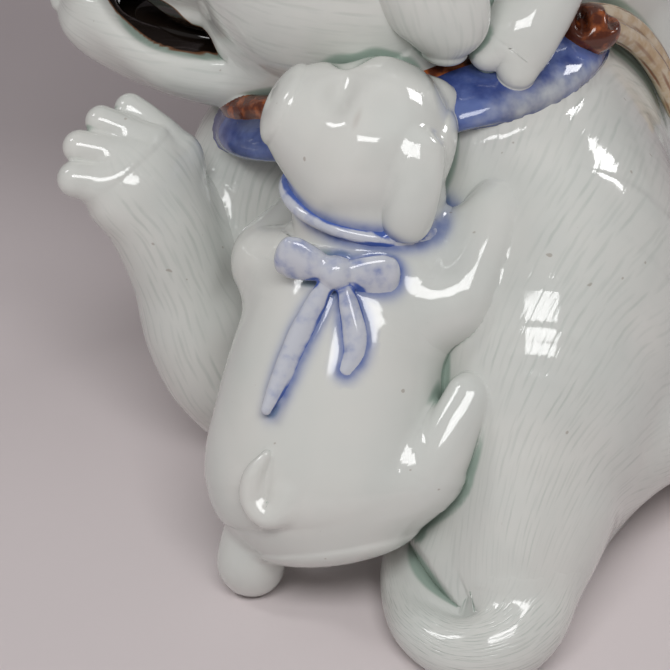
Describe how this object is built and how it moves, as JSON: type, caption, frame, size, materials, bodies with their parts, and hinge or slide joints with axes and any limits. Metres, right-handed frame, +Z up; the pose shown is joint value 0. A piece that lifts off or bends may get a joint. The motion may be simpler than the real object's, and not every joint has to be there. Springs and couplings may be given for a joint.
{
  "type": "porcelain dog and puppies figure group",
  "caption": "Glazed white porcelain figure of a dog lying with one foreleg raised and puppies climbing on it, with blue bib and ribbon; a free-standing ornament.",
  "frame": {"origin": "on the flat resting face, under the middle of the mother's body", "axes": "+Z up; +Y the way the mother's body points, away from the picture's camera; +X to the right of the picture, and the mother's head is turned to -X"},
  "size_m": [0.1522, 0.1749, 0.1626],
  "materials": {
    "porcelain": "gloss clear glaze, faint celadon tone where it pools",
    "cobalt_glaze": "gloss glaze over cobalt blue wash",
    "iron_brown_glaze": "gloss iron-brown glaze",
    "tan_glaze": "gloss tan glaze with brown mottling"
  },
  "bodies": {
    "root": {"mother_torso": "porcelain", "mother_head": "porcelain", "mother_lower_jaw": "porcelain", "mother_tongue": "porcelain", "mother_lower_teeth": "porcelain", "mother_nose": "iron_brown_glaze", "mother_eyes": "iron_brown_glaze", "mother_left_ear": "porcelain", "mother_right_ear": "porcelain", "mother_raised_upper_arm": "porcelain", "mother_raised_forearm": "porcelain", "mother_right_foreleg": "porcelain", "mother_left_hind_leg": "porcelain", "mother_right_hind_leg": "porcelain", "mother_tail": "porcelain", "collar_bib": "cobalt_glaze", "collar_band": "iron_brown_glaze", "collar_knot": "iron_brown_glaze", "collar_inner_cord": "tan_glaze", "collar_outer_cord": "tan_glaze", "climber_body": "porcelain", "climber_head": "porcelain", "climber_right_ear": "porcelain", "climber_left_ear": "porcelain", "climber_right_foreleg": "porcelain", "climber_left_foreleg": "porcelain", "climber_right_hind_leg": "porcelain", "climber_left_hind_leg": "porcelain", "climber_tail": "porcelain", "climber_ribbon": "cobalt_glaze", "climber_bow_knot": "cobalt_glaze", "climber_bow_left_loop": "cobalt_glaze", "climber_bow_right_loop": "cobalt_glaze", "climber_bow_left_tail": "cobalt_glaze", "climber_bow_right_tail": "cobalt_glaze", "rider_body": "porcelain", "rider_head": "porcelain", "rider_right_ear": "porcelain", "rider_left_ear": "porcelain", "rider_right_foreleg": "porcelain", "rider_left_foreleg": "porcelain", "rider_right_hind_leg": "porcelain", "rider_left_hind_leg": "porcelain", "rider_tail": "porcelain", "rider_ribbon": "cobalt_glaze"}
  },
  "joints": []
}
